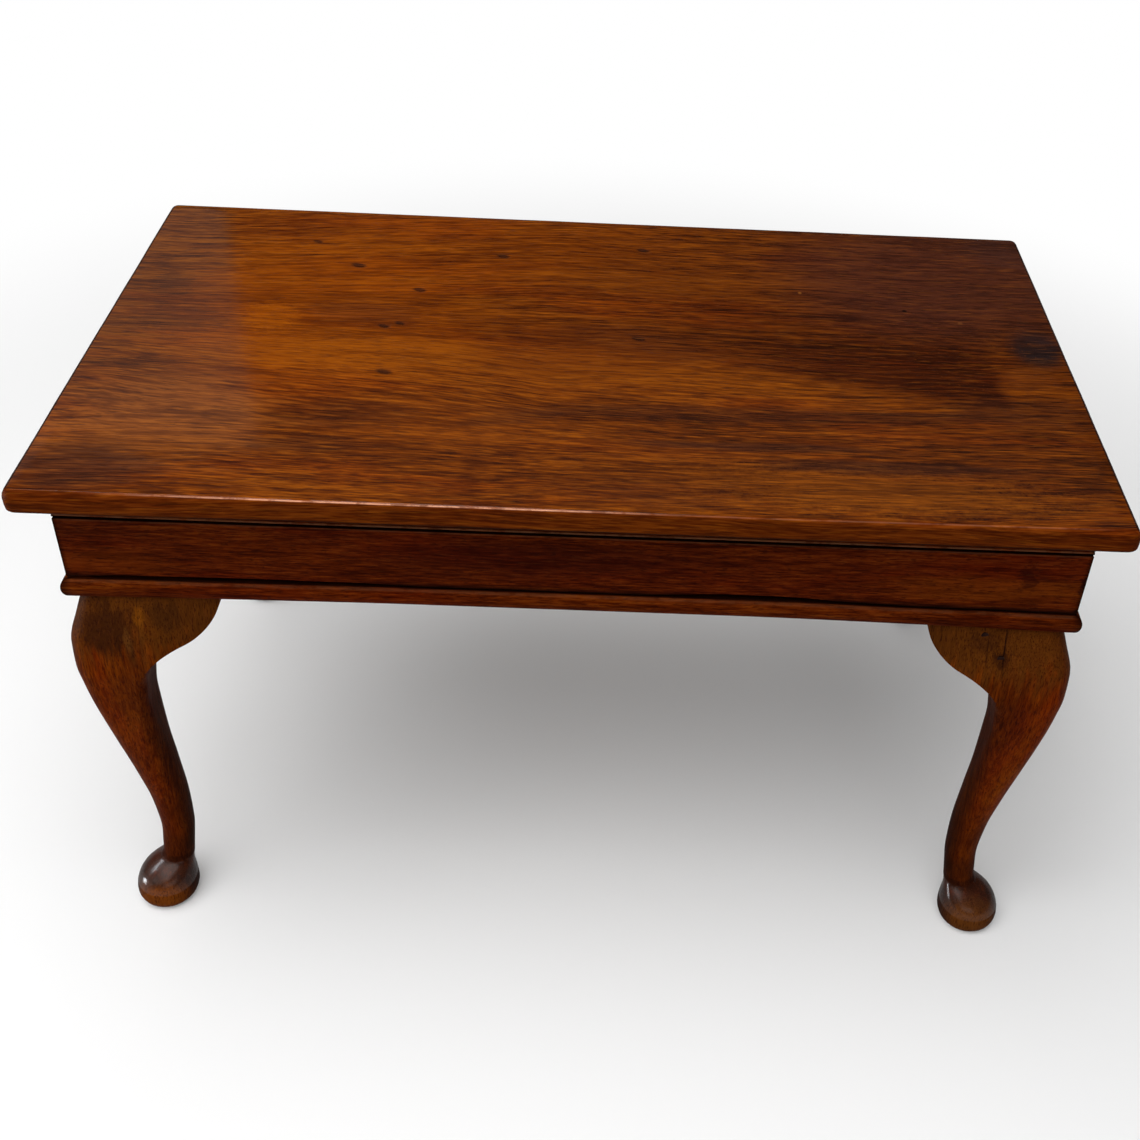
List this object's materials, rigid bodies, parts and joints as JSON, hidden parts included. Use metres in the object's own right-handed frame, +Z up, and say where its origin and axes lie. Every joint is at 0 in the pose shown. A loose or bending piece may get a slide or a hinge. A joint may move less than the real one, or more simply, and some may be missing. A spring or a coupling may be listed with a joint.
{
  "type": "storage coffee table",
  "caption": "Low polished mahogany table with a lift-up lid over a shallow storage box, on cabriole legs with pad feet and shaped ears.",
  "frame": {"origin": "on the floor under the middle of the whole table's bounding box", "axes": "+X along the table to the viewer's right, +Y from the front to the hinged back, +Z up"},
  "size_m": [0.78, 0.4506, 0.46],
  "materials": {
    "top_mahogany": "polished figured mahogany, amber to dark red-brown",
    "box_mahogany": "polished dark mahogany",
    "leg_mahogany": "polished mahogany, worn lighter on the lower leg",
    "panel_plywood": "plain unpolished board",
    "brass": "satin brass",
    "steel": "plain steel"
  },
  "bodies": {
    "box": {"apron_back": "box_mahogany", "apron_front": "box_mahogany", "apron_left": "box_mahogany", "apron_right": "box_mahogany", "base_frame_back": "leg_mahogany", "base_frame_front": "leg_mahogany", "base_frame_left": "leg_mahogany", "base_frame_right": "leg_mahogany", "bottom_panel": "panel_plywood", "ear_back_left_back": "leg_mahogany", "ear_back_left_side": "leg_mahogany", "ear_back_right_back": "leg_mahogany", "ear_back_right_side": "leg_mahogany", "ear_front_left_front": "leg_mahogany", "ear_front_left_side": "leg_mahogany", "ear_front_right_front": "leg_mahogany", "ear_front_right_side": "leg_mahogany", "hinge_box_screw_1": "brass", "hinge_box_screw_2": "brass", "hinge_box_screw_3": "brass", "hinge_box_screw_4": "brass", "hinge_box_screw_5": "brass", "hinge_box_screw_6": "brass", "hinge_left_box_leaf": "brass", "hinge_left_pin": "steel", "hinge_right_box_leaf": "brass", "hinge_right_pin": "steel", "leg_back_left": "leg_mahogany", "leg_back_right": "leg_mahogany", "leg_front_left": "leg_mahogany", "leg_front_right": "leg_mahogany", "leg_screw_1": "steel", "leg_screw_2": "steel", "leg_screw_3": "steel", "leg_screw_4": "steel", "leg_screw_5": "steel", "leg_screw_6": "steel", "leg_screw_7": "steel", "leg_screw_8": "steel"},
    "lid": {"hinge_left_lid_leaf": "brass", "hinge_lid_screw_1": "brass", "hinge_lid_screw_2": "brass", "hinge_lid_screw_3": "brass", "hinge_lid_screw_4": "brass", "hinge_lid_screw_5": "brass", "hinge_lid_screw_6": "brass", "hinge_right_lid_leaf": "brass", "lid_board": "top_mahogany", "lid_rim_back": "box_mahogany", "lid_rim_front": "box_mahogany", "lid_rim_left": "box_mahogany", "lid_rim_right": "box_mahogany", "rim_screw_1": "steel", "rim_screw_2": "steel", "rim_screw_3": "steel", "rim_screw_4": "steel", "rim_screw_5": "steel", "rim_screw_6": "steel"}
  },
  "joints": [
    {"name": "lid_hinge", "type": "hinge", "parent": "box", "child": "lid", "pos_m": [0, 0.2141, 0.4247], "axis": [-1, 0, 0], "range_deg": [0, 100]}
  ]
}
